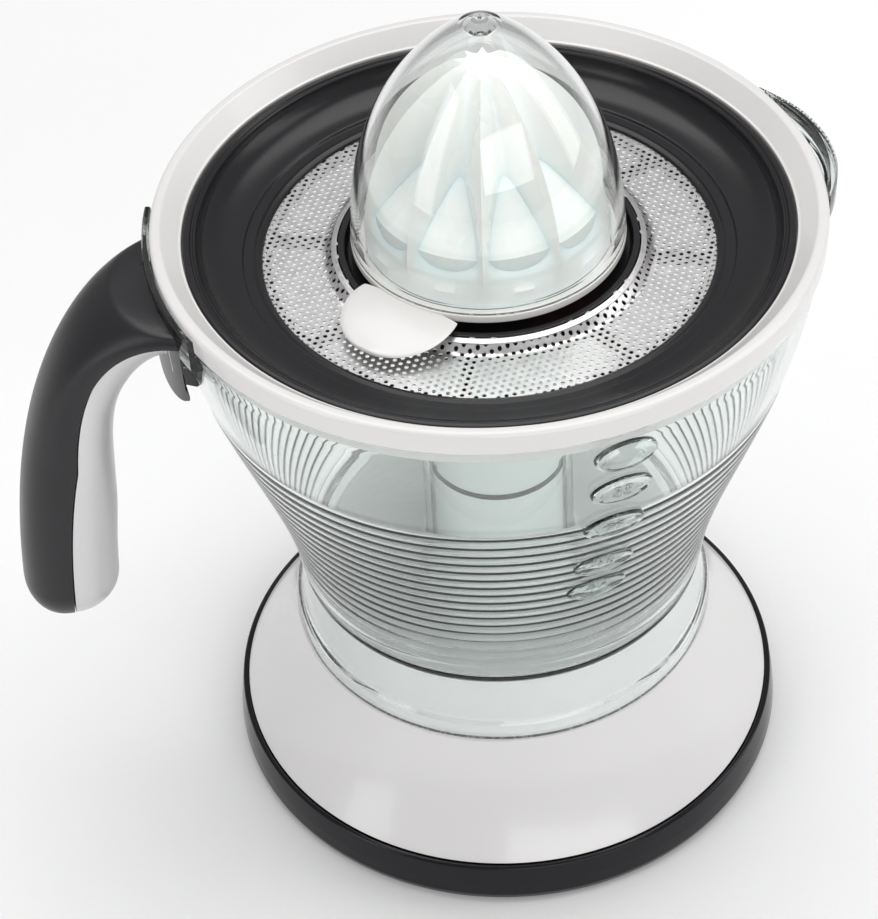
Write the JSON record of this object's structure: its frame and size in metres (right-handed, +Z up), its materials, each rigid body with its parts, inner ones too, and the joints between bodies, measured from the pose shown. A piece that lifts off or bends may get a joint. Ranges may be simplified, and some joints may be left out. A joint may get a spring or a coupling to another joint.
{
  "type": "electric citrus press",
  "caption": "Round press juicer: motor base, clear ribbed jug with chimney, hook handle and spout, white ring, dark filter bowl with steel screen, ribbed cone under a clear cover.",
  "frame": {"origin": "centre of the resting plane, on the axis of the drive shaft, level with the undersides of the rubber feet", "axes": "+Z up along the shaft and cone axis, -X towards the handle, +X towards the spout, +Y towards the cable gland at the back"},
  "size_m": [0.2126, 0.1616, 0.2284],
  "materials": {
    "white_shell": "glossy warm white moulded housing",
    "dark_gloss": "glossy near-black moulded skirt",
    "dark_bowl": "glossy near-black moulded bowl",
    "dark_soft": "soft satin near-black grip",
    "plate_plastic": "fine matt dark plastic",
    "silver_plastic": "satin silver inlay",
    "foot_rubber": "soft dark rubber",
    "clear_jug": "clear moulded plastic with a cool tint",
    "clear_cover": "clear moulded plastic",
    "ring_white": "glossy warm white moulded ring",
    "cone_white": "pale off-white moulded plastic",
    "screen_steel": "thin perforated steel",
    "zinc_steel": "plated steel",
    "core_steel": "laminated core steel",
    "magnet": "sintered ferrite",
    "bronze": "sintered bronze",
    "copper_wire": "enamelled winding wire",
    "gear_plastic": "natural low-friction gear plastic",
    "frame_plastic": "pale glass-filled plastic",
    "red_plastic": "red switch button plastic"
  },
  "bodies": {
    "base": {"base_shell": "white_shell", "drive_tower": "white_shell", "base_skirt": "dark_gloss", "base_plate": "plate_plastic", "rubber_feet": "foot_rubber", "base_screws": "zinc_steel", "cable_gland": "foot_rubber", "gearbox_tray": "frame_plastic", "gearbox_cover": "frame_plastic", "gearbox_screws": "zinc_steel", "stator_core": "core_steel", "coil_bobbins": "frame_plastic", "coil_windings": "copper_wire", "rotor_bracket": "zinc_steel", "rotor_bearings": "bronze", "wheel_axle": "zinc_steel", "gear_bushes": "bronze", "shaft_bush": "bronze", "tower_seal": "foot_rubber", "microswitch": "plate_plastic", "terminal_block": "frame_plastic"},
    "rotor": {"rotor_magnet": "magnet", "rotor_shaft": "zinc_steel", "motor_pinion": "gear_plastic"},
    "wheel": {"reduction_gear": "gear_plastic"},
    "drive": {"drive_gear": "gear_plastic"},
    "shaft": {"drive_shaft": "zinc_steel", "drive_head": "gear_plastic", "retaining_ring": "zinc_steel", "return_spring": "zinc_steel"},
    "plunger": {"switch_plunger": "red_plastic"},
    "jug": {"jug": "clear_jug", "jug_chimney": "clear_jug", "handle_grip": "dark_soft", "handle_inlay": "silver_plastic", "handle_screws": "zinc_steel"},
    "collector": {"collector_ring": "ring_white"},
    "filter": {"filter_bowl": "dark_bowl", "filter_screen": "screen_steel"},
    "bush": {"cone_bush": "gear_plastic"},
    "paddle": {"paddle_ring": "ring_white"},
    "cone": {"press_cone": "cone_white"},
    "cover": {"cone_cover": "clear_cover"}
  },
  "joints": [
    {"name": "rotor_spin", "type": "hinge", "parent": "base", "child": "rotor", "pos_m": [-0.026, 0.021, 0.03], "axis": [0, 0, 1], "continuous": true},
    {"name": "wheel_spin", "type": "hinge", "parent": "base", "child": "wheel", "pos_m": [-0.02233, 0.00175, 0.045], "axis": [0, 0, 1], "continuous": true},
    {"name": "drive_gear_spin", "type": "hinge", "parent": "base", "child": "drive", "pos_m": [0, 0, 0.05], "axis": [0, 0, 1], "continuous": true},
    {"name": "shaft_press", "type": "slide", "parent": "drive", "child": "shaft", "axis": [0, 0, 1], "range_m": [-0.0015, 0], "deforming": ["return_spring"]},
    {"name": "plunger_press", "type": "slide", "parent": "base", "child": "plunger", "axis": [0, 0, 1], "range_m": [-0.0015, 0]},
    {"name": "jug_lift", "type": "slide", "parent": "base", "child": "jug", "axis": [0, 0, 1], "range_m": [0, 0.145]},
    {"name": "collector_lift", "type": "slide", "parent": "jug", "child": "collector", "axis": [0, 0, 1], "range_m": [0, 0.07]},
    {"name": "filter_lift", "type": "slide", "parent": "collector", "child": "filter", "axis": [0, 0, 1], "range_m": [0, 0.06]},
    {"name": "cone_press", "type": "slide", "parent": "filter", "child": "bush", "axis": [0, 0, 1], "range_m": [-0.0015, 0], "stiffness_N_per_m": 1500, "springref_m": 0.006},
    {"name": "cone_spin", "type": "hinge", "parent": "bush", "child": "paddle", "pos_m": [0, 0, 0.17], "axis": [0, 0, 1], "continuous": true},
    {"name": "cone_lift", "type": "slide", "parent": "paddle", "child": "cone", "axis": [0, 0, 1], "range_m": [0, 0.06]},
    {"name": "cover_lift", "type": "slide", "parent": "cone", "child": "cover", "axis": [0, 0, 1], "range_m": [0, 0.065]}
  ],
  "couplings": [
    {"joint": "drive_gear_spin", "follows": "cone_spin", "ratio": 1},
    {"joint": "wheel_spin", "follows": "cone_spin", "ratio": -3},
    {"joint": "rotor_spin", "follows": "cone_spin", "ratio": 7.5},
    {"joint": "shaft_press", "follows": "cone_press", "ratio": 1},
    {"joint": "plunger_press", "follows": "cone_press", "ratio": 1}
  ]
}
